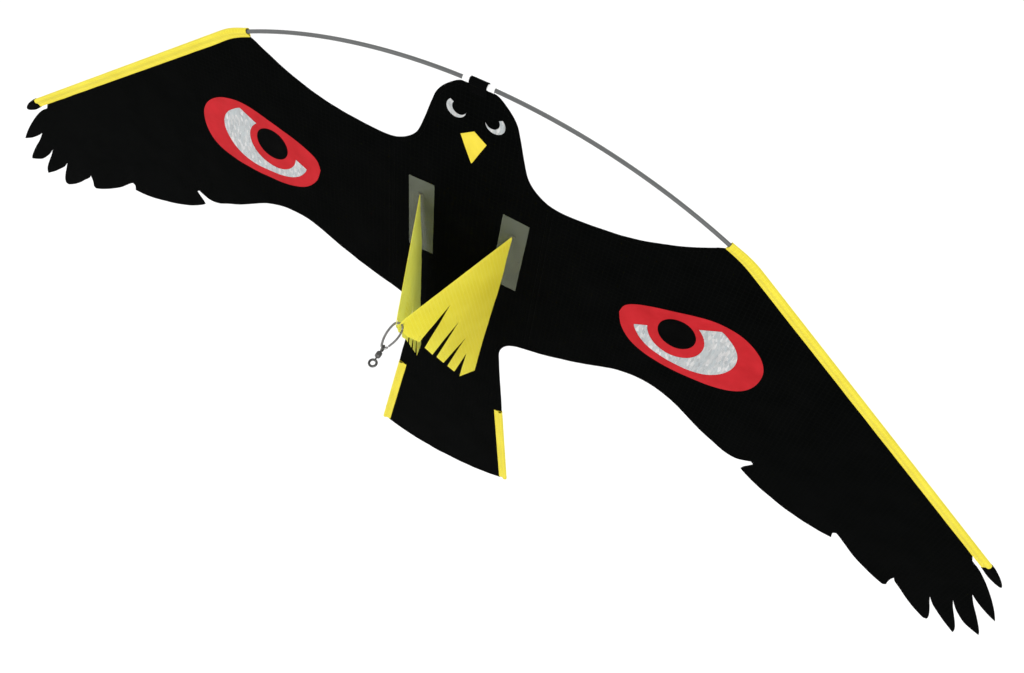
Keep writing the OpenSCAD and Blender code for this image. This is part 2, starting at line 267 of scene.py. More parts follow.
def relief(x, y):
    """How far the cloth stands out of its plane, in millimetres."""
    d1, d2, t = off_sleeve(x, y)
    s = 1 if x >= 0 else -1
    ax = abs(x)
    free = smooth(d1, 7, 60) * smooth(d2, 7, 45)
    loop = smooth(math.hypot(max(ax - 12, 0), max(40 - y, 0) * 0.8 if y < 40 else 0), 0, 24) if y > 0 else 1.0
    # slack of the cloth
    h = 1.1 * math.sin(ax / 74 + 0.4) * math.sin(y / 92 + 1.1) * free
    h += 0.55 * noise.noise((ax / 42 + 7 * s, y / 68 + 3, 1.7)) * free
    h += 0.28 * noise.noise((ax / 15 + 11 * s, y / 21 + 9, 4.1)) * min(free * 1.5, 1)
    # pull lines from the sewn ends of the legs
    r, a = math.hypot(ax - 54, y + 108), math.atan2(y + 108, ax - 54)
    off = max(abs(ax - 53) - 15, abs(y + 138) - 51)
    h += 0.55 * math.exp(-r / 60) * smooth(off, 1, 24) * math.cos(6 * a + s)
    # puckers along the sewn sleeves
    if d1 < 34 and ax > 245:
        l = t * SLEEVE_LEN
        h += 0.3 * smooth(d1, 7, 11) * math.exp(-(d1 - 9) / 9) * math.sin(l / 1.9 + 2.2 * noise.noise((l / 17, s, 0)))
    if d2 < 30 and y < -410:
        h += 0.25 * smooth(d2, 7, 11) * math.exp(-(d2 - 9) / 9) * math.sin(y / 1.8 + 2 * noise.noise((y / 15, s, 5)))
    # free feather ends lift a little
    if ax > 440:
        tip = smooth(ax - 440 + max(-300 - y, 0) * 1.3, 90, 330)
        h += tip * (1.7 * math.sin(ax / 19 + y / 27 + s * 0.6) + 0.8) * smooth(d1, 12, 60)
    # the joint to the centre panel and the head loop stay flat
    return h * loop


# ------------------------------------------------------------------ mesh helpers
def obj_from(name, verts, faces, uvs=None, sharp=None, closed=True):
    me = bpy.data.meshes.new(name)
    me.from_pydata([tuple(v) for v in verts], [], [tuple(f) for f in faces])
    me.validate()
    if uvs is not None:
        layer = me.uv_layers.new(name="UVMap")
        co = np.array([uvs[l.vertex_index] for l in me.loops], np.float32)
        layer.data.foreach_set("uv", co.ravel())
    bm = bmesh.new()
    bm.from_mesh(me)
    if closed:
        bmesh.ops.recalc_face_normals(bm, faces=bm.faces[:])
    for f in bm.faces:
        f.smooth = True
    if sharp is not None:
        for e in bm.edges:
            if len(e.link_faces) == 2 and e.calc_face_angle(0) > sharp:
                e.smooth = False
    bm.to_mesh(me)
    bm.free()
    o = bpy.data.objects.new(name, me)
    bpy.context.scene.collection.objects.link(o)
    return o


def outline_of(node, axis=None, origin=None):
    """Border loops of a flat node's front face, in sail millimetres, or in a plane given by axis (u, v, w)."""
    me = nodes[node].data
    co = np.array([v.co for v in me.vertices], float) * 1000
    if axis is None:
        pts = np.stack([co[:, 0], co[:, 2] - DROP, BELLY - co[:, 1]], 1)
    else:
        pts = (co - np.array(origin)) @ np.array(axis).T
    top = pts[:, 2].max()
    key = {}
    idx = []
    flat = []
    for p in pts:
        k = (round(p[0], 3), round(p[1], 3), round(p[2], 3))
        if k not in key:
            key[k] = len(flat)
            flat.append(p)
        idx.append(key[k])
    count = {}
    for poly in me.polygons:
        vs = [idx[i] for i in poly.vertices]
        if all(flat[i][2] > top - 0.02 for i in vs) and len(set(vs)) == len(vs):
            for a, b in zip(vs, vs[1:] + vs[:1]):
                e = (min(a, b), max(a, b))
                count[e] = count.get(e, 0) + 1
    link = {}
    for (a, b), c in count.items():
        if c == 1:
            link.setdefault(a, []).append(b)
            link.setdefault(b, []).append(a)
    loops, seen = [], set()
    for s in sorted(link):
        if s in seen:
            continue
        loop, prev, cur = [s], None, s
        seen.add(s)
        while True:
            nxt = [q for q in link[cur] if q != prev and q not in seen]
            if not nxt:
                break
            prev, cur = cur, nxt[0]
            seen.add(cur)
            loop.append(cur)
        xy = np.array([flat[i][:2] for i in loop])
        area = 0.5 * float(np.sum(xy[:, 0] * np.roll(xy[:, 1], -1) - np.roll(xy[:, 0], -1) * xy[:, 1]))
        if abs(area) < 0.5:
            continue
        loops.append((abs(area), xy if area > 0 else xy[::-1]))
    loops.sort(key=lambda q: -q[0])
    return [q[1] for q in loops]


def tidy(loop, low=0.25):
    out = []
    for p in loop:
        if not out or np.linalg.norm(p - out[-1]) > low:
            out.append(p)
    while len(out) > 2 and np.linalg.norm(out[0] - out[-1]) <= low:
        out.pop()
    return np.array(out)


def resample(loop, step, closed=True):
    out = []
    n = len(loop)
    for i in range(n if closed else n - 1):
        a, b = loop[i], loop[(i + 1) % n]
        k = max(int(math.ceil(np.linalg.norm(b - a) / step)), 1)
        for j in range(k):
            out.append(a + (b - a) * j / k)
    if not closed:
        out.append(loop[-1])
    return np.array(out)


def inside(poly, pts):
    x, y = pts[:, 0], pts[:, 1]
    res = np.zeros(len(pts), bool)
    for (x1, y1), (x2, y2) in zip(poly, np.roll(poly, -1, 0)):
        if y1 == y2:
            continue
        c = (y1 > y) != (y2 > y)
        res ^= c & (x < (x2 - x1) * (y - y1) / (y2 - y1) + x1)
    return res


def to_edge(poly, pts):
    d = np.full(len(pts), 1e9)
    for a, b in zip(poly, np.roll(poly, -1, 0)):
        v = b - a
        q = max(float(v @ v), 1e-12)
        t = np.clip(((pts - a) @ v) / q, 0, 1)
        d = np.minimum(d, np.linalg.norm(pts - a - t[:, None] * v, axis=1))
    return d


def triangulate(loops, step):
    """Even triangles inside loops[0] and outside the other loops."""
    loops = [resample(tidy(l), step) for l in loops]
    outer = loops[0]
    lo, hi = outer.min(0), outer.max(0)
    pts = []
    row = 0
    y = lo[1]
    while y < hi[1]:
        x = lo[0] + (step / 2 if row % 2 else 0)
        while x < hi[0]:
            pts.append((x, y))
            x += step
        y += step * 0.866
        row += 1
    pts = np.array(pts) if pts else np.zeros((0, 2))
    if len(pts):
        ok = inside(outer, pts)
        for l in loops[1:]:
            ok &= ~inside(l, pts)
        pts = pts[ok]
    for l in loops:
        if len(pts):
            pts = pts[to_edge(l, pts) > step * 0.55]
    verts, edges = [], []
    for l in loops:
        k = len(verts)
        verts += [tuple(p) for p in l]
        edges += [(k + i, k + (i + 1) % len(l)) for i in range(len(l))]
    verts += [tuple(p) for p in pts]
    v, e, f, _, _, _ = delaunay_2d_cdt([Vector(p) for p in verts], edges, [], 1, 1e-4)
    v = np.array([(p.x, p.y) for p in v])
    tri = [tuple(t) for t in f]
    mid = np.array([v[list(t)].mean(0) for t in tri])
    keep = inside(outer, mid)
    for l in loops[1:]:
        keep &= ~inside(l, mid)
    tri = [t for t, k in zip(tri, keep) if k]
    used = sorted({i for t in tri for i in t})
    new = {o: i for i, o in enumerate(used)}
    return v[used], [tuple(new[i] for i in t) for t in tri]


def cut_sheet(name, loops, step, top, thick, place, round_edge=0.0):
    """A cut piece of sheet: top(x, y) is its front height, place(x, y, n) puts a point into the world."""
    v, tri = triangulate(loops, step)
    n = len(v)
    front, back, uv = [], [], []
    for x, y in v:
        h = top(x, y)
        front.append(place(x, y, h))
        back.append(place(x, y, h - (thick(x, y) if callable(thick) else thick)))
        uv.append((x / 1000, y / 1000))
    faces = list(tri) + [tuple(i + n for i in t[::-1]) for t in tri]
    count = {}
    for t in tri:
        for a, b in zip(t, t[1:] + t[:1]):
            count[(a, b)] = 1
    for a, b in list(count):
        if (b, a) not in count:
            faces.append((b, a, a + n, b + n))
    return obj_from(name, front + back, faces, uv + uv, sharp=rad(50))


def flat_of(loops):
    """Flat size and area in metres of a piece cut along these loops."""
    def area(l):
        return 0.5 * abs(float(np.sum(l[:, 0] * np.roll(l[:, 1], -1) - np.roll(l[:, 0], -1) * l[:, 1])))
    w, h = (loops[0].max(0) - loops[0].min(0)) / 1000
    return {"flat": (max(float(w), 0.01), max(float(h), 0.01)), "area": (area(loops[0]) - sum(area(l) for l in loops[1:])) / 1e6}


def sweep(name, stations, profile, side, caps=True, n0=MID, wobble=0.0, seed=0.0):
    """Sweeps a closed outline (outward, height) along stations. profile(l) gives its points."""
    verts, faces, uv = [], [], []
    m = None
    for p, d, l in stations:
        pr = profile(l)
        m = len(pr)
        run = 0.0
        for i, (o, h) in enumerate(pr):
            if i:
                run += math.hypot(o - pr[i - 1][0], h - pr[i - 1][1])
            q = p + o * d
            verts.append(world(side * q[0], q[1], n0 + h))
            uv.append((l / 1000, run / 1000))
    k = len(stations)
    for i in range(k - 1):
        for j in range(m):
            a, b = i * m + j, i * m + (j + 1) % m
            faces.append((a, b, b + m, a + m))
    if caps:
        faces += caps_of(m, k)
    return obj_from(name, verts, faces, uv, sharp=rad(48))


def caps_of(m, k):
    """End caps of a folded strip: its outline runs out along one face and back along the other."""
    h = m // 2
    out = []
    for base in (0, (k - 1) * m):
        for j in range(h - 1):
            out.append((base + j, base + j + 1, base + m - 2 - j, base + m - 1 - j))
    return out


def folded(outer, t):
    """Closed outline of a strip folded along the open line outer, t thick, on its inner side."""
    outer = np.array(outer)
    inner = []
    for i in range(len(outer)):
        a, b = outer[max(i - 1, 0)], outer[min(i + 1, len(outer) - 1)]
        d = (b - a) / np.linalg.norm(b - a)
        inner.append(outer[i] + t * np.array([d[1], -d[0]]))
    return [tuple(p) for p in outer] + [tuple(p) for p in inner[::-1]]


def sleeve_half(o, r, fade=1.7):
    """Half thickness of a sleeve o mm outside its rod."""
    if o > r:
        return 0.0
    c = math.sqrt(max(r * r - o * o, 0)) if o > -r * 0.4 else 0.0
    flat = 0.66
    if o <= -r * 0.4:
        edge = math.sqrt(r * r - (r * 0.4) ** 2)
        return flat + (edge - flat) * math.exp(-((-r * 0.4 - o) / fade) ** 1.25)
    return max(c, 0.0)


def knee_slack(l):
    """How far the wing sleeve stands outside the bent rod near its inner end."""
    return 1.8 * math.exp(-((l - 25) / 20) ** 2)


def mouth(l):
    """How much narrower the wing sleeve is near its inner end."""
    return 1.8 * math.exp(-(l / 28) ** 2)


def sleeve_profile(r, inner, seed, slack=None):
    def make(l):
        e = slack(l) if slack else 0.0
        puff = 1 + 0.035 * noise.noise((l / 13, seed, 2.0)) + 0.02 * noise.noise((l / 4.5, seed, 6.0))
        edge = inner + 0.22 * noise.noise((l / 26, seed, 9.0)) + (mouth(l) if slack else 0.0)
        top = []
        for i in range(10):
            o = edge + (-0.4 * r - edge) * i / 10
            h = sleeve_half(o, r, 1.7 + 1.2 * e)
            h = 0.66 + (h - 0.66) * puff + 0.1 * math.sin(l / 1.6 + seed) * smooth(-o, 4, 7) * noise.noise((l / 9, seed, 1.0))
            top.append((o, h))
        a0 = math.acos(-0.4)
        for i in range(12):
            a = a0 - a0 * i / 12
            top.append((r * math.cos(a), r * math.sin(a) * puff))
        line = top + [(r, 0.0)] + [(o, -h) for o, h in top[::-1]]
        return [(o + e, h) for o, h in folded(line, 0.36)]
    return make


def tube(name, path, r, seg=16, cap=True, rough=0.0):
    """A round rod along points in the world, in metres."""
    pts = [Vector(p) for p in path]
    verts, faces, uv = [], [], []
    up = None
    run = 0.0
    for i, p in enumerate(pts):
        t = (pts[min(i + 1, len(pts) - 1)] - pts[max(i - 1, 0)]).normalized()
        if up is None:
            up = t.orthogonal().normalized()
        up = (up - t * up.dot(t)).normalized()
        side = t.cross(up)
        if i:
            run += (p - pts[i - 1]).length
        for j in range(seg):
            a = 2 * math.pi * j / seg
            verts.append(p + r * (math.cos(a) * up + math.sin(a) * side))
            uv.append((run, r * 2 * math.pi * abs(j / seg - 0.5) * 2))
    k = len(pts)
    for i in range(k - 1):
        for j in range(seg):
            a, b = i * seg + j, i * seg + (j + 1) % seg
            faces.append((a, b, b + seg, a + seg))
    if cap:
        for base, q, w in ((0, pts[0], 0.0), ((k - 1) * seg, pts[-1], run)):
            verts.append(q)
            uv.append((w, 0))
            c = len(verts) - 1
            for j in range(seg):
                faces.append((base + j, base + (j + 1) % seg, c))
    return obj_from(name, verts, faces, uv, sharp=rad(50))


def capsule(verts, faces, uv, a, b, normal, r):
    """A stitch from a to b, a little arched, lying on a surface with that normal. World metres."""
    d = (b - a)
    length = d.length
    d = d.normalized()
    side = d.cross(normal).normalized()
    k0 = len(verts)
    rings = [(0.10, 0.62, -0.35), (0.28, 0.95, 0.05), (0.5, 1.0, 0.18), (0.72, 0.95, 0.05), (0.90, 0.62, -0.35)]
    verts.append(a - normal * r * 0.9)
    uv.append((0, 0))
    for t, f, lift in rings:
        c = a + d * (length * t) + normal * (r * lift)
        for j in range(6):
            an = math.pi * 2 * j / 6
            verts.append(c + r * f * (math.cos(an) * side + math.sin(an) * normal))
            uv.append((length * t, r * j))
    verts.append(b - normal * r * 0.9)
    uv.append((length, 0))
    last = len(verts) - 1
    for j in range(6):
        faces.append((k0, k0 + 1 + (j + 1) % 6, k0 + 1 + j))
        for i in range(len(rings) - 1):
            p, q = k0 + 1 + i * 6 + j, k0 + 1 + i * 6 + (j + 1) % 6
            faces.append((p, q, q + 6, p + 6))
        e = k0 + 1 + (len(rings) - 1) * 6
        faces.append((e + j, e + (j + 1) % 6, last))


def stitches(name, rows, pitch=3.2, length=2.3, r=0.2):
    """rows: (points in the world in mm as Vectors, normals)."""
    verts, faces, uv = [], [], []
    for pts, normals in rows:
        run = [0.0]
        for a, b in zip(pts, pts[1:]):
            run.append(run[-1] + (b - a).length)
        n = int(run[-1] / pitch)

        def at(s):
            i = int(np.searchsorted(run, s)) - 1
            i = min(max(i, 0), len(pts) - 2)
            t = (s - run[i]) / max(run[i + 1] - run[i], 1e-9)
            return pts[i].lerp(pts[i + 1], t), normals[i].lerp(normals[i + 1], t).normalized()

        for i in range(n):
            s = (run[-1] - n * pitch) / 2 + i * pitch + (pitch - length) / 2
            a, na = at(s)
            b, nb = at(s + length)
            nn = (na + nb).normalized()
            capsule(verts, faces, uv, a / 1000, b / 1000, nn, r / 1000)
    return obj_from(name, verts, faces, uv, closed=False)


def W(x, y, n):
    return Vector((x, BELLY - n, y + DROP))


OUT, IN = Vector((0, -1, 0)), Vector((0, 1, 0))


def row_on_sail(xy, lift, out=True):
    pts = [W(x, y, lift + relief(x, y)) for x, y in xy]
    return pts, [OUT if out else IN] * len(pts)


def offset_line(xy, d):
    """The open line moved d mm to its left."""
    out = []
    for i in range(len(xy)):
        a, b = xy[max(i - 1, 0)], xy[min(i + 1, len(xy) - 1)]
        t = (b - a) / max(np.linalg.norm(b - a), 1e-9)
        out.append(xy[i] + d * np.array([-t[1], t[0]]))
    return np.array(out)


def run_of(loop, test):
    """The longest run of neighbouring points of a closed loop that pass the test."""
    n = len(loop)
    ok = [bool(test(p[0], p[1])) for p in loop]
    start = next((i for i in range(n) if not ok[i]), 0)
    best, cur = [], []
    for k in range(n + 1):
        i = (start + k) % n
        if ok[i] and k < n:
            cur.append(loop[i])
        else:
            if len(cur) > len(best):
                best = cur
            cur = []
    return np.array(best)


def hem(name, xy, width=6.0, t=0.3):
    """A hem folded to the back along the open line xy, which has the cloth on its left."""
    rows = []
    for o in (0.12, 1.2, width * 0.5, width - 0.4, width):
        rows.append(offset_line(xy, o))
    drop = [0.10, t, t, t, 0.06]
    verts, faces, uv = [], [], []
    m = 2 * len(rows)
    run = 0
    for i in range(len(xy)):
        if i:
            run += float(np.linalg.norm(xy[i] - xy[i - 1]))
        for k, r in enumerate(rows):
            x, y = r[i]
            verts.append(world(x, y, BACK + 0.02 + relief(x, y)))
            uv.append((run / 1000, k * width / 4000))
        for k in range(len(rows) - 1, -1, -1):
            x, y = rows[k][i]
            verts.append(world(x, y, BACK - drop[k] + relief(x, y)))
            uv.append((run / 1000, k * width / 4000))
    for i in range(len(xy) - 1):
        for j in range(m):
            a, b = i * m + j, i * m + (j + 1) % m
            faces.append((a, b, b + m, a + m))
    faces += caps_of(m, len(xy))
    return obj_from(name, verts, faces, uv, sharp=rad(60))


def seam_rows(xy, inset, back_extra=0.3):
    line = offset_line(xy, inset)
    return [row_on_sail(line, FRONT + 0.05, True), row_on_sail(line, BACK - back_extra - 0.05, False)]


# ------------------------------------------------------------------ materials
def material(name):
    m = bpy.data.materials.new(name)
    m.use_nodes = True
    nt = m.node_tree
    for n in list(nt.nodes):
        nt.nodes.remove(n)
    out = nt.nodes.new("ShaderNodeOutputMaterial")
    b = nt.nodes.new("ShaderNodeBsdfPrincipled")
    nt.links.new(b.outputs[0], out.inputs[0])
    return m, nt, b


def node(nt, kind, **sets):
    n = nt.nodes.new(kind)
    for k, v in sets.items():
        setattr(n, k, v)
    return n


def calc(nt, op, a, b=None, clamp=False):
    n = nt.nodes.new("ShaderNodeMath")
    n.operation = op
    n.use_clamp = clamp
    for i, q in enumerate((a, b)):
        if q is None:
            continue
        if isinstance(q, (int, float)):
            n.inputs[i].default_value = q
        else:
            nt.links.new(q, n.inputs[i])
    return n.outputs[0]


def uv_parts(nt):
    tc = node(nt, "ShaderNodeTexCoord")
    sep = node(nt, "ShaderNodeSeparateXYZ")
    nt.links.new(tc.outputs["UV"], sep.inputs[0])
    return tc, sep.outputs[0], sep.outputs[1]


def grid_line(nt, c, pitch, width):
    """1 on lines each pitch metres, width metres wide."""
    f = calc(nt, "FRACT", calc(nt, "DIVIDE", c, pitch))
    d = calc(nt, "ABSOLUTE", calc(nt, "SUBTRACT", f, 0.5))
    return calc(nt, "MULTIPLY", calc(nt, "SUBTRACT", calc(nt, "ADD", calc(nt, "MULTIPLY", d, -1.0), width / pitch / 2), 0.0), pitch / width * 3, True)


def thread_wave(nt, c, pitch):
    return calc(nt, "SINE", calc(nt, "MULTIPLY", c, 2 * math.pi / pitch))


def fractal(nt, coord, scale, detail=4.0, rough=0.55):
    n = node(nt, "ShaderNodeTexNoise")
    n.inputs["Scale"].default_value = scale
    n.inputs["Detail"].default_value = detail
    n.inputs["Roughness"].default_value = rough
    nt.links.new(coord, n.inputs["Vector"])
    return n.outputs["Fac"]


def ramp(nt, fac, stops):
    r = node(nt, "ShaderNodeValToRGB")
    e = r.color_ramp.elements
    e[0].position, e[0].color = stops[0][0], (*stops[0][1], 1)
    e[1].position, e[1].color = stops[-1][0], (*stops[-1][1], 1)
    for p, c in stops[1:-1]:
        q = e.new(p)
        q.color = (*c, 1)
    nt.links.new(fac, r.inputs[0])
    return r.outputs[0]


def mix(nt, fac, a, b, kind="MIX"):
    n = node(nt, "ShaderNodeMix", data_type="RGBA", blend_type=kind)
    if isinstance(fac, (int, float)):
        n.inputs[0].default_value = fac
    else:
        nt.links.new(fac, n.inputs[0])
    for i, q in ((6, a), (7, b)):
        if isinstance(q, tuple):
            n.inputs[i].default_value = (*q, 1)
        else:
            nt.links.new(q, n.inputs[i])
    return n.outputs[2]


def bump(nt, height, strength, distance, normal=None):
    n = node(nt, "ShaderNodeBump")
    n.inputs["Strength"].default_value = strength
    n.inputs["Distance"].default_value = distance
    nt.links.new(height, n.inputs["Height"])
    if normal is not None:
        nt.links.new(normal, n.inputs["Normal"])
    return n.outputs[0]


def span(nt, fac, a, b):
    n = node(nt, "ShaderNodeMapRange")
    n.inputs["To Min"].default_value = a
    n.inputs["To Max"].default_value = b
    nt.links.new(fac, n.inputs["Value"])
    return n.outputs[0]


def cloth(name, dark, light, rib, rough, spec, sheen=0.0, sheen_tint=(1, 1, 1), pitch=0.005, weave=0.0006, see_through=0.0, speck=0.0, fade=0.0):
    """Woven cloth with a ripstop grid: dark and light are the slow colour change, rib the grid threads, fade the
    painted shade that darkens a leg toward its hanging edge.
    """
    m, nt, b = material(name)
    tc, u, v = uv_parts(nt)
    slow = fractal(nt, tc.outputs["UV"], 26, 5)
    fine = fractal(nt, tc.outputs["UV"], 900, 3)
    col = ramp(nt, slow, [(0.3, dark), (0.7, light)])
    lines = calc(nt, "MAXIMUM", grid_line(nt, u, pitch, 0.0007), grid_line(nt, v, pitch, 0.0007))
    col = mix(nt, calc(nt, "MULTIPLY", lines, 0.7), col, rib)
    wv = calc(nt, "MULTIPLY", thread_wave(nt, u, weave), thread_wave(nt, v, weave))
    tone = span(nt, calc(nt, "ADD", calc(nt, "MULTIPLY", wv, 0.35), fine), 0.86, 1.12)
    grey = node(nt, "ShaderNodeCombineColor")
    for i in range(3):
        nt.links.new(tone, grey.inputs[i])
    col = mix(nt, 1.0, col, grey.outputs[0], "MULTIPLY")
    if fade:
        # painted shade: darker from the pulled edge of the leg to its hanging edge near the sail
        t = calc(nt, "DIVIDE", calc(nt, "SUBTRACT", calc(nt, "ARCTAN2", v, u), 0.3), 0.91, clamp=True)
        t = calc(nt, "SUBTRACT", 1.03, calc(nt, "MULTIPLY", t, fade))
        grey = node(nt, "ShaderNodeCombineColor")
        for i in range(3):
            nt.links.new(t, grey.inputs[i])
        col = mix(nt, 1.0, col, grey.outputs[0], "MULTIPLY")
    if speck:
        spots = node(nt, "ShaderNodeTexVoronoi")
        spots.inputs["Scale"].default_value = 160
        nt.links.new(tc.outputs["UV"], spots.inputs["Vector"])
        hit = calc(nt, "MULTIPLY", calc(nt, "LESS_THAN", spots.outputs["Distance"], 0.11), speck)
        col = mix(nt, hit, col, tuple(0.45 * c for c in dark))
    nt.links.new(col, b.inputs["Base Color"])
    nt.links.new(span(nt, fine, rough - 0.1, rough + 0.1), b.inputs["Roughness"])
    b.inputs["Specular IOR Level"].default_value = spec
    if sheen:
        b.inputs["Sheen Weight"].default_value = sheen
        b.inputs["Sheen Roughness"].default_value = 0.45
        b.inputs["Sheen Tint"].default_value = (*sheen_tint, 1)
    h = calc(nt, "ADD", calc(nt, "MULTIPLY", wv, 0.25), calc(nt, "ADD", lines, calc(nt, "MULTIPLY", slow, 1.5)))
    nrm = bump(nt, h, 0.35, 0.0003)
    nt.links.new(nrm, b.inputs["Normal"])
    if see_through:
        b.inputs["Subsurface Weight"].default_value = 0.0
        tr = node(nt, "ShaderNodeBsdfTranslucent")
        nt.links.new(mix(nt, 1.0, col, (0.94, 1.40, 12.0), "MULTIPLY"), tr.inputs["Color"])
        ms = node(nt, "ShaderNodeMixShader")
        ms.inputs[0].default_value = see_through
        nt.links.new(b.outputs[0], ms.inputs[1])
        nt.links.new(tr.outputs[0], ms.inputs[2])
        out = next(n for n in nt.nodes if n.type == "OUTPUT_MATERIAL")
        nt.links.new(ms.outputs[0], out.inputs[0])
    return m


def film(name, dark, light, rough, spec=0.5, coat=0.0, metal=0.0, alpha=1.0, orange=0.25):
    m, nt, b = material(name)
    tc, u, v = uv_parts(nt)
    slow = fractal(nt, tc.outputs["UV"], 45, 4)
    fine = fractal(nt, tc.outputs["UV"], 700, 3)
    nt.links.new(ramp(nt, slow, [(0.3, dark), (0.7, light)]), b.inputs["Base Color"])
    nt.links.new(span(nt, fine, rough - 0.06, rough + 0.08), b.inputs["Roughness"])
    b.inputs["Specular IOR Level"].default_value = spec
    b.inputs["Metallic"].default_value = metal
    b.inputs["Coat Weight"].default_value = coat
    b.inputs["Coat Roughness"].default_value = 0.25
    b.inputs["Alpha"].default_value = alpha
    # the weave of the cloth below shows through the film a little
    lines = calc(nt, "MAXIMUM", grid_line(nt, u, 0.005, 0.0009), grid_line(nt, v, 0.005, 0.0009))
    h = calc(nt, "ADD", calc(nt, "MULTIPLY", lines, 0.5), calc(nt, "ADD", slow, calc(nt, "MULTIPLY", fine, 0.2)))
    nt.links.new(bump(nt, h, orange, 0.0002), b.inputs["Normal"])
    return m


def foil(name):
    m, nt, b = material(name)
    tc, u, v = uv_parts(nt)
    # fine facets, longer along the body than across it
    mp = node(nt, "ShaderNodeMapping")
    mp.inputs["Rotation"].default_value = (0, 0, 0.25)
    mp.inputs["Scale"].default_value = (1.5, 0.45, 1)
    nt.links.new(tc.outputs["UV"], mp.inputs["Vector"])
    cell = node(nt, "ShaderNodeTexVoronoi")
    cell.inputs["Scale"].default_value = 330
    nt.links.new(mp.outputs[0], cell.inputs["Vector"])
    sep = node(nt, "ShaderNodeSeparateColor")
    nt.links.new(cell.outputs["Color"], sep.inputs[0])
    tint = ramp(nt, sep.outputs[0], [(0.0, (0.40, 0.415, 0.42)), (0.35, (0.50, 0.515, 0.515)), (0.6, (0.45, 0.485, 0.495)), (0.8, (0.57, 0.56, 0.55)), (1.0, (0.66, 0.66, 0.655))])
    slow = fractal(nt, tc.outputs["UV"], 60, 4)
    grey = ramp(nt, slow, [(0.3, (0.85, 0.86, 0.87)), (0.7, (1.0, 1.0, 1.0))])
    nt.links.new(mix(nt, 1.0, tint, grey, "MULTIPLY"), b.inputs["Base Color"])
    b.inputs["Metallic"].default_value = 0.85
    nt.links.new(span(nt, sep.outputs[1], 0.22, 0.5), b.inputs["Roughness"])
    h = calc(nt, "ADD", calc(nt, "MULTIPLY", sep.outputs[2], 0.8), calc(nt, "MULTIPLY", cell.outputs["Distance"], 1.2))
    nt.links.new(bump(nt, h, 0.5, 0.0006), b.inputs["Normal"])
    return m


def fibreglass(name):
    m, nt, b = material(name)
    tc, u, v = uv_parts(nt)
    mp = node(nt, "ShaderNodeMapping")
    mp.inputs["Scale"].default_value = (8, 900, 1)
    nt.links.new(tc.outputs["UV"], mp.inputs["Vector"])
    streak = fractal(nt, mp.outputs[0], 1.0, 5, 0.6)
    slow = fractal(nt, tc.outputs["UV"], 18, 3)
    col = ramp(nt, streak, [(0.28, (0.068, 0.071, 0.071)), (0.5, (0.098, 0.101, 0.101)), (0.75, (0.130, 0.133, 0.133))])
    col = mix(nt, 1.0, col, ramp(nt, slow, [(0.3, (0.86, 0.86, 0.86)), (0.7, (1.06, 1.06, 1.05))]), "MULTIPLY")
    nt.links.new(col, b.inputs["Base Color"])
    nt.links.new(span(nt, streak, 0.32, 0.55), b.inputs["Roughness"])
    b.inputs["Specular IOR Level"].default_value = 0.35
    nt.links.new(bump(nt, streak, 0.25, 0.0002), b.inputs["Normal"])
    return m


def metal(name, dark, light, rough):
    """Object-space brushed and slightly worn metal for the small wire parts."""
    m, nt, b = material(name)
    tc = node(nt, "ShaderNodeTexCoord")
    slow = fractal(nt, tc.outputs["Object"], 260, 5)
    fine = fractal(nt, tc.outputs["Object"], 2600, 3)
    geo = node(nt, "ShaderNodeNewGeometry")
    wear = calc(nt, "MULTIPLY", calc(nt, "SUBTRACT", geo.outputs["Pointiness"], 0.5), 2.0, True)
    col = ramp(nt, slow, [(0.3, dark), (0.7, light)])
    col = mix(nt, wear, col, tuple(min(c * 1.2, 1) for c in light))
    nt.links.new(col, b.inputs["Base Color"])
    b.inputs["Metallic"].default_value = 1.0
    nt.links.new(span(nt, fine, rough - 0.06, rough + 0.12), b.inputs["Roughness"])
    nt.links.new(bump(nt, calc(nt, "ADD", slow, calc(nt, "MULTIPLY", fine, 0.3)), 0.2, 0.0001), b.inputs["Normal"])
    return m


def vinyl(name):
    """Milky flexible tube."""
    m, nt, b = material(name)
    tc = node(nt, "ShaderNodeTexCoord")
    slow = fractal(nt, tc.outputs["Object"], 180, 4)
    nt.links.new(ramp(nt, slow, [(0.3, (0.80, 0.81, 0.80)), (0.7, (0.90, 0.90, 0.89))]), b.inputs["Base Color"])
    nt.links.new(span(nt, slow, 0.25, 0.4), b.inputs["Roughness"])
    b.inputs["Subsurface Weight"].default_value = 0.4
    b.inputs["Subsurface Radius"].default_value = (0.002, 0.002, 0.002)
    nt.links.new(bump(nt, slow, 0.15, 0.0002), b.inputs["Normal"])
    return m


def thread(name, dark, light, spec=0.2):
    m, nt, b = material(name)
    tc, u, v = uv_parts(nt)
    tw = thread_wave(nt, calc(nt, "ADD", u, calc(nt, "MULTIPLY", v, 1.4)), 0.0006)
    fine = fractal(nt, tc.outputs["UV"], 1500, 3)
    nt.links.new(ramp(nt, calc(nt, "ADD", calc(nt, "MULTIPLY", tw, 0.25), fine), [(0.25, dark), (0.75, light)]), b.inputs["Base Color"])
    nt.links.new(span(nt, fine, 0.45, 0.65), b.inputs["Roughness"])
    b.inputs["Specular IOR Level"].default_value = spec
    nt.links.new(bump(nt, tw, 0.4, 0.0001), b.inputs["Normal"])
    return m


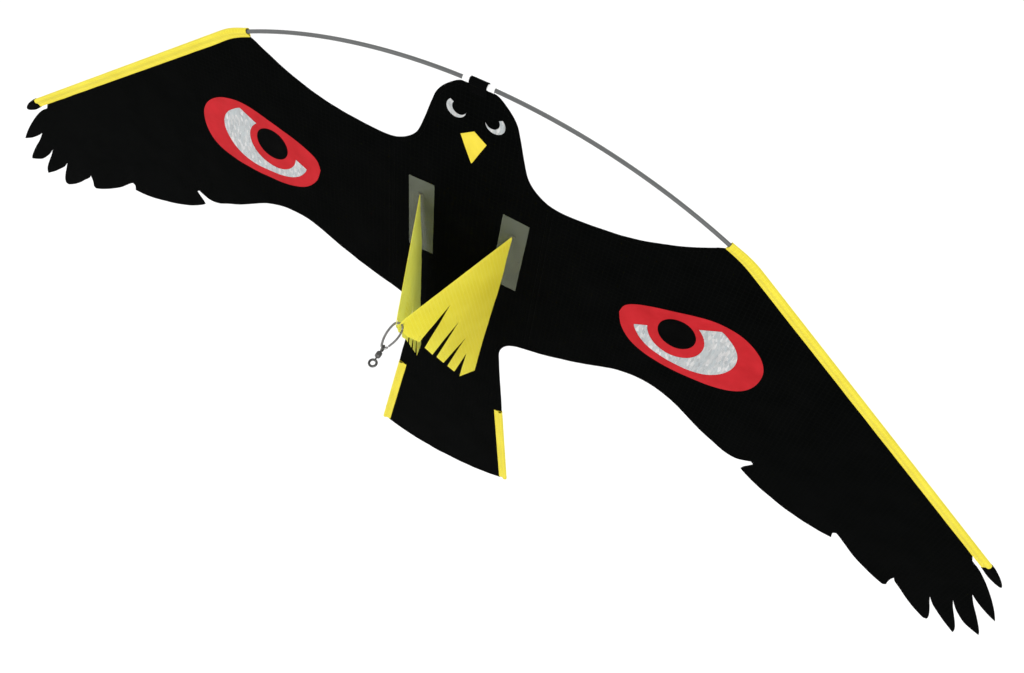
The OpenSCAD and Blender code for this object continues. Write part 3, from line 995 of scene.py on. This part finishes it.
M_BLACK = cloth("black_ripstop", (0.0008, 0.0010, 0.0009), (0.0015, 0.0017, 0.0016), (0.0029, 0.0032, 0.0030), 0.6, 0.004, 0.001, (0.7, 0.72, 0.75))
M_TAPE = cloth("black_tape", (0.0010, 0.0011, 0.0011), (0.0018, 0.0019, 0.0019), (0.0032, 0.0033, 0.0033), 0.7, 0.004, 0.002, (0.7, 0.72, 0.75), pitch=0.0016, weave=0.0005)
M_SLEEVE = cloth("yellow_sleeve_cloth", (0.65, 0.54, 0.030), (0.74, 0.635, 0.048), (0.78, 0.69, 0.075), 0.6, 0.14, 0.05, (1, 0.95, 0.7), pitch=0.0042)
# painted shade: the two leg materials are copies of one cloth that differ only in the painted shade toward the hanging
# edge, stronger on the left leg
M_LEG_PAINTED_SHADE = {}
for side, fade in (("right", 0.07), ("left", 0.22)):
    M_LEG_PAINTED_SHADE[side] = cloth("yellow_leg_cloth_" + side, (0.89, 0.685, 0.030), (0.98, 0.765, 0.044), (0.99, 0.795, 0.07), 0.6, 0.16, 0.05, (1, 0.95, 0.7), pitch=0.0042, see_through=0.47, speck=0.35, fade=fade)
M_BEAK = film("yellow_film", (0.64, 0.505, 0.024), (0.73, 0.585, 0.038), 0.42, 0.25)
M_CLEAR = film("clear_film", (0.10, 0.112, 0.080), (0.13, 0.142, 0.104), 0.4, 0.20, alpha=0.52)
M_RED = film("red_film", (0.37, 0.010, 0.014), (0.46, 0.015, 0.021), 0.42, 0.04)
M_PUPIL = film("black_film", (0.0008, 0.0008, 0.0008), (0.0018, 0.0018, 0.0018), 0.45, 0.006)
M_FOIL = foil("silver_film")
M_ROD = fibreglass("grey_fibreglass")
M_TUBE = vinyl("milky_tube")
M_STEEL = metal("nickel", (0.19, 0.188, 0.182), (0.33, 0.325, 0.315), 0.26)
M_SWIVEL = metal("dark_nickel", (0.055, 0.055, 0.053), (0.135, 0.133, 0.128), 0.24)
M_THREAD_Y = thread("yellow_thread", (0.62, 0.44, 0.02), (0.88, 0.68, 0.06))
M_THREAD_T = thread("tack_thread", (0.085, 0.082, 0.05), (0.15, 0.145, 0.09))
M_THREAD_K = thread("black_thread", (0.002, 0.002, 0.002), (0.005, 0.005, 0.005), 0.02)


def dress(o, mat, slot):
    o.data.materials.clear()
    o.data.materials.append(mat)
    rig.slot(o, slot)
    return o


def wing_bend(o, s):
    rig.blend(o, "airframe", "right_wing" if s > 0 else "left_wing",
             start=(s * BLEND_A / 1000, 0.1745, 0.1), end=(s * BLEND_B / 1000, 0.1745, 0.1))


SIDES = ((1, "right"), (-1, "left"))

# ------------------------------------------------------------------ sail
def centre_fix(loop):
    l = loop.copy()
    l[np.abs(np.abs(l[:, 0]) - 88) < 0.05, 0] = np.sign(l[np.abs(np.abs(l[:, 0]) - 88) < 0.05, 0]) * 88.25
    return l


def wing_fix(loop):
    l = loop.copy()
    hit = np.abs(np.abs(l[:, 0]) - 88.5) < 0.05
    l[hit, 0] = np.sign(l[hit, 0]) * 88.25
    l[hit & (l[:, 1] > -100), 1] = -47.2
    l[hit & (l[:, 1] < -100), 1] = -275.9
    return l


STEP = 5.0
centre_loop = [centre_fix(l) for l in outline_of("sail_centre")]
sail = cut_sheet("sail_centre_cloth", centre_loop, STEP, lambda x, y: FRONT + relief(x, y), CLOTH, world)
dress(sail, M_BLACK, "black_cloth")
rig.ride(sail, "airframe")
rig.replaces(sail, "sail_centre")

loop = tidy(centre_loop[0])
rows, hems = [], []
for s, side in SIDES:
    head = run_of(resample(loop, 4.0), lambda x, y: y > -48 and s * x < 88.2 and (s * x > 11.5))
    hip = run_of(resample(loop, 4.0), lambda x, y: -415.5 < y < -275 and 0 < s * x < 88.2)
    for tag, line in (("head", head), ("hip", hip)):
        h = hem(f"{tag}_hem_{side}", line)
        dress(h, M_BLACK, "black_cloth")
        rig.ride(h, "airframe")
        hems.append(h)
        rows += seam_rows(line, 4.6)
tail_line = run_of(resample(loop, 4.0), lambda x, y: y < -569.5 and abs(x) < 88)
h = hem("tail_hem", tail_line)
dress(h, M_BLACK, "black_cloth")
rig.ride(h, "airframe")
hems.append(h)
rows += seam_rows(tail_line, 4.6)
sail_thread = dress(stitches("sail_stitching", rows), M_THREAD_K, "thread")
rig.ride(sail_thread, "airframe")
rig.sheet(sail, **flat_of(centre_loop), held="stretched", rests_on=["tail_sleeve_left", "tail_sleeve_right", "head_loop"],
         with_pieces=[*hems, sail_thread])

for s, side in SIDES:
    loops = [wing_fix(l) for l in outline_of("wing_panel_" + side)]
    w = cut_sheet("wing_cloth_" + side, loops, STEP, lambda x, y: FRONT + relief(x, y), CLOTH, world)
    dress(w, M_BLACK, "black_cloth")
    wing_bend(w, s)
    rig.replaces(w, "wing_panel_" + side)
    loop = resample(tidy(loops[0]), 4.0)
    shoulder = run_of(loop, lambda x, y: y > -52 and 88.3 < s * x < 243)
    trailing = run_of(loop, lambda x, y: -283.5 < y < -215 and 88.3 < s * x < 345)
    rows, hems = [], []
    for tag, line in (("shoulder", shoulder), ("trailing", trailing)):
        h = hem(f"{tag}_hem_{side}", line)
        dress(h, M_BLACK, "black_cloth")
        wing_bend(h, s)
        hems.append(h)
        rows += seam_rows(line, 4.6)
    # joining seam to the centre panel
    for x in (85.6, 91.2):
        line = np.array([(s * x, y) for y in np.arange(-54, -268, -4.0)])
        rows += [row_on_sail(line, FRONT + 0.05, True), row_on_sail(line, BACK - 0.05, False)]
    t = dress(stitches("wing_stitching_" + side, rows), M_THREAD_K, "thread")
    wing_bend(t, s)
    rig.sheet(w, **flat_of(loops), held="stretched", rests_on=["wing_sleeve_" + side], with_pieces=[*hems, t])

# ------------------------------------------------------------------ applied film
def applied(name, cad, body, step, lift, thick, mat, slot, bend=0):
    loops = outline_of(cad)
    o = cut_sheet(name, loops, step, lambda x, y: lift + relief(x, y), thick, world)
    dress(o, mat, slot)
    if bend:
        wing_bend(o, bend)
    else:
        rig.ride(o, body)
    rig.replaces(o, cad)
    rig.sheet(o, **flat_of(loops), held="laid", rests_on=["wing_cloth_" + ("right" if bend > 0 else "left") if bend else "sail_centre_cloth"])
    return o


applied("beak_film", "beak", "airframe", 3.0, FRONT + 0.26, 0.26, M_BEAK, "yellow_film")
for s, side in SIDES:
    applied("head_eye_film_" + side, "head_eye_" + side, "airframe", 2.0, FRONT + 0.22, 0.22, M_FOIL, "silver_film")
    applied("leg_patch_film_" + side, "leg_patch_" + side, "airframe", 4.0, FRONT + 0.3, 0.28, M_CLEAR, "clear_film")
    applied("eye_field_film_" + side, "eye_field_" + side, None, 5.0, FRONT + 0.22, 0.22, M_RED, "red_film", bend=s)
    applied("eye_foil_film_" + side, "eye_foil_" + side, None, 4.0, FRONT + 0.40, 0.18, M_FOIL, "silver_film", bend=s)
    applied("eye_pupil_film_" + side, "eye_pupil_" + side, None, 4.0, FRONT + 0.40, 0.18, M_PUPIL, "black_film", bend=s)

# ------------------------------------------------------------------ sleeves
for s, side in SIDES:
    body = "right_wing" if s > 0 else "left_wing"
    o = sweep("wing_sleeve_cloth_" + side, sleeve_path(2.5), sleeve_profile(3.15, -7.8, 3.0 * s, knee_slack), s)
    dress(o, M_SLEEVE, "yellow_cloth")
    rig.ride(o, body)
    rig.replaces(o, "wing_sleeve_" + side)
    rows = []
    path = sleeve_path(4.0)
    for sgn, nn in ((1, OUT), (-1, IN)):
        pts = []
        for p, d, l in path:
            row = mouth(l) - 6.5
            q = p + (knee_slack(l) + row) * d
            pts.append(W(s * q[0], q[1], MID + sgn * (0.06 + sleeve_half(row, 3.15, 1.7 + 1.2 * knee_slack(l)))))
        rows.append((pts, [nn] * len(pts)))
    t = dress(stitches("wing_sleeve_stitching_" + side, rows), M_THREAD_Y, "thread")
    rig.ride(t, body)
    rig.sheet(o, flat=(0.0255, 0.4462), held="folded", rests_on=["wing_cloth_" + side], with_pieces=[t])

    o = sweep("tail_sleeve_cloth_" + side, tail_path(2.5), sleeve_profile(2.7, -8.4, 5.0 * s), s)
    dress(o, M_SLEEVE, "yellow_cloth")
    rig.ride(o, "airframe")
    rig.replaces(o, "tail_sleeve_" + side)
    rows = []
    path = tail_path(4.0)
    for sgn, nn in ((1, OUT), (-1, IN)):
        pts = [W(s * (p + -7.0 * d)[0], (p + -7.0 * d)[1], MID + sgn * 0.74) for p, d, l in path]
        rows.append((pts, [nn] * len(pts)))
    t = dress(stitches("tail_sleeve_stitching_" + side, rows), M_THREAD_Y, "thread")
    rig.ride(t, "airframe")
    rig.sheet(o, flat=(0.0255, 0.150), held="folded", rests_on=["sail_centre_cloth"], with_pieces=[t])

# ------------------------------------------------------------------ tip pockets
def pocket_outline():
    top = [(-2.5, 3.5), (0, 3.45), (8, 2.7), (16, 1.5), (24, -0.5), (29, -2.5), (31.1, -4)]
    low = [(31.1, -4), (31.3, -5.2), (29.8, -6.3), (24, -8), (12, -9.3), (0, -8.6), (-2.5, -8.5)]

    def cr(p):
        out = []
        for i in range(len(p) - 1):
            a, b, c, d = (np.array(p[min(max(i + k, 0), len(p) - 1)]) for k in (-1, 0, 1, 2))
            for k in range(5):
                t = k / 5
                out.append(0.5 * (2 * b + (c - a) * t + (2 * a - 5 * b + 4 * c - d) * t * t + (3 * b - a - 3 * c + d) * t ** 3))
        out.append(np.array(p[-1], float))
        return out
    pts = cr(top) + cr(low)[1:]
    return np.array(pts[::-1])


def pocket_half(l, o, d):
    rod = sleeve_half(max(min(o, 3.0), -8.4), 3.15) + 0.42
    fade = 1 - smooth(l, 6, 30)
    body = 0.55 + 0.7 * smooth(d, 0, 3.5) * (1 - smooth(l, 14, 33))
    h = body + (max(rod, body) - body) * fade
    return h * (0.35 + 0.65 * smooth(d, 0.0, 1.4)) if l > -2.3 else h


for s, side in SIDES:
    body = "right_wing" if s > 0 else "left_wing"
    ol = pocket_outline()
    v, tri = triangulate([ol], 1.6)
    dist = to_edge(ol, v)
    verts, uv = [], []
    for sign in (1, -1):
        for (l, o), d in zip(v, dist):
            if l < -2.3:
                d = min(3.5 - o, o + 8.5)
            h = pocket_half(l, o, max(d, 0)) + 0.05 * noise.noise((l / 3, o / 3, s))
            q = beside(knee_out, SWEEP, SLEEVE_LEN + l, o)
            verts.append(world(s * q[0], q[1], MID + sign * h))
            uv.append((l / 1000, o / 1000))
    n = len(v)
    faces = list(tri) + [tuple(i + n for i in t[::-1]) for t in tri]
    have = {(a, b) for t in tri for a, b in zip(t, t[1:] + t[:1])}
    faces += [(b, a, a + n, b + n) for a, b in have if (b, a) not in have]
    o = obj_from("tip_pocket_cloth_" + side, verts, faces, uv, sharp=rad(55))
    dress(o, M_TAPE, "black_cloth")
    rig.ride(o, body)
    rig.replaces(o, "tip_pocket_" + side)
    line = offset_line(np.array([p for p in ol if p[0] > -1.5]), 1.3)
    rows = []
    for sign, nn in ((1, OUT), (-1, IN)):
        pts = []
        for l, q in line:
            d = float(to_edge(ol, np.array([[l, q]]))[0])
            b = beside(knee_out, SWEEP, SLEEVE_LEN + l, q)
            pts.append(W(s * b[0], b[1], MID + sign * (pocket_half(l, q, d) + 0.03)))
        rows.append((pts, [nn] * len(pts)))
    t = dress(stitches("tip_pocket_stitching_" + side, rows, 2.4, 1.7, 0.17), M_THREAD_K, "thread")
    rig.ride(t, body)
    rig.sheet(o, **flat_of([ol]), held="folded", rests_on=["wing_sleeve_cloth_" + side], with_pieces=[t])

# ------------------------------------------------------------------ spar rods and tube
for s, side in SIDES:
    path = []
    a0, a1 = math.asin(5 / BOW_R), rad(BOW_A)
    k = 84
    for i in range(k):
        a = a0 + (a1 - a0) * i / k
        path.append(world(s * BOW_R * math.sin(a), TOP - BOW_R * (1 - math.cos(a)), MID))
    for p, d, l in sleeve_path(5.0, 0, SLEEVE_LEN + 6):
        path.append(world(s * p[0], p[1], MID))
    o = tube("spar_rod_" + side, path, 0.002, 20)
    dress(o, M_ROD, "fibreglass")
    # rod and tube turn together at the tube, over a short stretch
    turn = {"start": (s * 0.004, 0.1745, 0.2), "end": (s * 0.034, 0.1745, 0.2)}
    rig.blend(o, "airframe", "right_wing" if s > 0 else "left_wing", **turn)
    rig.replaces(o, "spar_" + side)
    dress(nodes["tail_rod_" + side], M_ROD, "fibreglass")

    # one half of the flexible tube, outside and inside
    n, seg = 14, 32
    arc = [math.asin(16 / BOW_R) * i / n for i in range(n + 1)]
    verts, faces, uv = [], [], []
    for r, row in ((3.0, arc), (2.06, arc[::-1])):
        for a in row:
            p = Vector(world(s * BOW_R * math.sin(a), TOP - BOW_R * (1 - math.cos(a)), MID))
            for j in range(seg):
                b = 2 * math.pi * j / seg
                verts.append(p + Vector((s * math.sin(a) * math.cos(b), math.sin(b), math.cos(a) * math.cos(b))) * r / 1000)
                uv.append((a * BOW_R / 1000, r * b / 1000))
    k = 2 * (n + 1)
    for i in range(k):
        for j in range(seg):
            a, b = i * seg + j, i * seg + (j + 1) % seg
            c, d = (i + 1) % k * seg + j, (i + 1) % k * seg + (j + 1) % seg
            faces.append((a, b, d, c) if s > 0 else (a, c, d, b))
    o = obj_from("centre_tube_half_" + side, verts, faces, uv, sharp=rad(50))
    dress(o, M_TUBE, "tube")
    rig.blend(o, "airframe", "right_wing" if s > 0 else "left_wing", **turn)
    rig.replaces(o, "centre_tube")

# ------------------------------------------------------------------ head loop
def strap():
    """Middle line of the strap in (y, n), from the back tail over the tube to the front tail."""
    pts = [(36, -1.12), (42, -1.12), (47, -1.14), (50.6, -1.3), (52.8, -2.0)]
    for i in range(15):
        a = rad(-132 + 264 * i / 14)
        pts.append((TOP + 3.68 * math.cos(a), MID + 3.68 * math.sin(a)))
    pts += [(52.8, 1.0), (50.6, 0.35), (47, 0.14), (44.5, 0.10)]
    return np.array(pts)


mid = strap()
fine = []
for i in range(len(mid) - 1):
    a, b, c, d = (mid[min(max(i + k, 0), len(mid) - 1)] for k in (-1, 0, 1, 2))
    for k in range(3):
        t = k / 3
        fine.append(0.5 * (2 * b + (c - a) * t + (2 * a - 5 * b + 4 * c - d) * t * t + (3 * b - a - 3 * c + d) * t ** 3))
fine.append(mid[-1])
fine = np.array(fine)
across = [-1.0, -0.97, -0.85, -0.5, 0.0, 0.5, 0.85, 0.97, 1.0]
verts, faces, uv = [], [], []
m = 2 * len(across)
run = 0.0
for i, p in enumerate(fine):
    a, b = fine[max(i - 1, 0)], fine[min(i + 1, len(fine) - 1)]
    d = (b - a) / np.linalg.norm(b - a)
    nrm = np.array([-d[1], d[0]])
    if i:
        run += float(np.linalg.norm(p - fine[i - 1]))
    half = 8.75 + 0.4 * smooth(p[0], 54, 60)
    for face in (1, -1):
        order = across if face > 0 else across[::-1]
        for c in order:
            th = 0.27 * (0.35 if abs(c) == 1 else 1.0)
            q = p + nrm * face * th + nrm * 0.10 * noise.noise((c * 2.3, run / 6, 2.0)) * smooth(p[0], 50, 56)
            verts.append(world(c * half, q[0], q[1]))
            uv.append((c * half / 1000, run / 1000))
for i in range(len(fine) - 1):
    for j in range(m):
        a, b = i * m + j, i * m + (j + 1) % m
        faces.append((a, b, b + m, a + m))
faces += caps_of(m, len(fine))
loop_o = obj_from("head_loop_strap", verts, faces, uv, sharp=rad(60))
dress(loop_o, M_TAPE, "black_cloth")
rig.ride(loop_o, "airframe")
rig.replaces(loop_o, "head_loop")
box = [(-7, 38), (7, 38), (7, 49), (-7, 49), (-7, 38), (7, 49), (7, 38), (-7, 49)]
back_pts = resample(np.array(box, float), 2.0, closed=False)
rows = [([W(x, y, -1.42) for x, y in back_pts], [IN] * len(back_pts))]
front = resample(np.array([(-7.4, 46.0), (7.4, 46.0)]), 2.0, closed=False)
rows.append(([W(x, y, 0.42) for x, y in front], [OUT] * len(front)))
loop_t = dress(stitches("head_loop_stitching", rows, 2.6, 1.9, 0.18), M_THREAD_K, "thread")
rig.ride(loop_t, "airframe")
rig.sheet(loop_o, flat=(0.018, 0.045), held="folded", rests_on=["centre_tube", "sail_centre_cloth"], with_pieces=[loop_t])

# ------------------------------------------------------------------ legs
for s, side in SIDES:
    A = np.array(W(s * 54, -108, 1))
    P = np.array(W(s * 1, -150, 131))
    Q = np.array(W(s * 36, -345, 14))
    u = (P - A) / np.linalg.norm(P - A)
    w = np.cross(u, Q - A)
    w /= np.linalg.norm(w)
    v = np.cross(w, u)
    loops = outline_of("leg_" + side, axis=(u, v, w), origin=A)
    slits = [((85, 31), (131.5, 64.5)), ((81.5, 75.5), (123, 109)), ((79, 123), (114.5, 149)), ((85, 161), (105.3, 193))]
    curl = [0.0, 0.5 * s, -0.4, 0.5, -0.5]

    def bend_leg(x, y, s=s):
        k = 0
        for (x0, y0), (x1, y1) in slits:
            if y > y0 + (y1 - y0) * (x - x0) / (x1 - x0):
                k += 1
        free = smooth(y, 6, 60) * smooth(math.hypot(x, y), 12, 60)
        h = 1.3 * math.sin(y / 46 + 0.7) * free
        h += 0.35 * noise.noise((x / 16 + 5 * s, y / 18, 3.0)) * free
        h += curl[k] * (max(x - 86, 0) / 34) ** 2 * smooth(y, 12, 50)
        if s < 0 and k == 0:
            h -= 2.2 * smooth(x, 86, 124) * smooth(y, 8, 45)
        if s < 0 and k == 1:
            h -= 5.0 * smooth(x, 86, 116) * (1 - smooth(y - 31 - 0.72 * (x - 85), 0, 30))
        return h

    def put(x, y, h, u=u, v=v, w=w, A=A):
        return tuple((A + x * u + y * v + h * w) / 1000)

    o = cut_sheet("leg_cloth_" + side, loops, 3.5, lambda x, y: 0.2 + bend_leg(x, y), 0.4, put)
    dress(o, M_LEG_PAINTED_SHADE[side], "leg_cloth")
    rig.ride(o, side + "_leg")
    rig.replaces(o, "leg_" + side)
    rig.sheet(o, **flat_of(loops), held="hung", rests_on=["leg_tack_thread_" + side, "snap_hook"])

    # bar tack that holds the sewn end of the leg
    pts = []
    turns, length = 12, 5.0
    for i in range(turns * 10 + 1):
        t = i / (turns * 10)
        a = 2 * math.pi * turns * t
        pts.append(np.array(W(s * (54 - length / 2 + length * t), -108 + 0.52 * math.cos(a), 0.62 + 0.52 * math.sin(a))) / 1000)
    t = tube("leg_tack_thread_" + side, pts, 0.00021, 6)
    dress(t, M_THREAD_T, "thread")
    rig.ride(t, "airframe")
    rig.replaces(t, "leg_tack_" + side)

# ------------------------------------------------------------------ snap and swivel
for n in ("snap_hook", "snap_gate", "link_eye", "swivel_barrel", "tow_eye"):
    dress(nodes[n], M_STEEL if n.startswith("snap") else M_SWIVEL, "steel")

# ------------------------------------------------------------------ stage
floor_me = bpy.data.meshes.new("floor")
floor_me.from_pydata([(-30, -30, -0.75), (30, -30, -0.75), (30, 30, -0.75), (-30, 30, -0.75)], [], [(0, 1, 2, 3)])
floor = bpy.data.objects.new("floor", floor_me)
bpy.context.scene.collection.objects.link(floor)
fm, fnt, fb = material("floor_white")
ftc = node(fnt, "ShaderNodeTexCoord")
fnt.links.new(ramp(fnt, fractal(fnt, ftc.outputs["Object"], 3, 3), [(0.3, (0.90, 0.90, 0.90)), (0.7, (0.93, 0.93, 0.93))]), fb.inputs["Base Color"])
fb.inputs["Roughness"].default_value = 0.9
fb.inputs["Specular IOR Level"].default_value = 0.1
floor_me.materials.append(fm)
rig.stage(floor)

wld = bpy.data.worlds.new("studio")
bpy.context.scene.world = wld
wld.use_nodes = True
bg = next(n for n in wld.node_tree.nodes if n.type == "BACKGROUND")
bg.inputs[0].default_value = (1, 1, 1, 1)
bg.inputs[1].default_value = 0.85


def lamp(name, loc, target, size, watts):
    d = bpy.data.lights.new(name, "AREA")
    d.energy, d.size = watts, size
    o = bpy.data.objects.new(name, d)
    o.location = loc
    o.rotation_euler = (Vector(target) - Vector(loc)).to_track_quat("-Z", "Y").to_euler()
    bpy.context.scene.collection.objects.link(o)


lamp("key", (1.5, -1.9, 1.8), (0, 0.1, 0), 1.6, 40)
lamp("fill", (-2.0, -1.6, 1.2), (0, 0.1, 0), 1.8, 26)
lamp("back", (0.4, 2.4, 1.5), (0, 0.1, 0), 2.0, 22)

lo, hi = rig.bounds()
with open("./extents.json", "w") as f:
    json.dump({"cad": [list(cad_lo), list(cad_hi)], "visual": [list(lo), list(hi)]}, f)
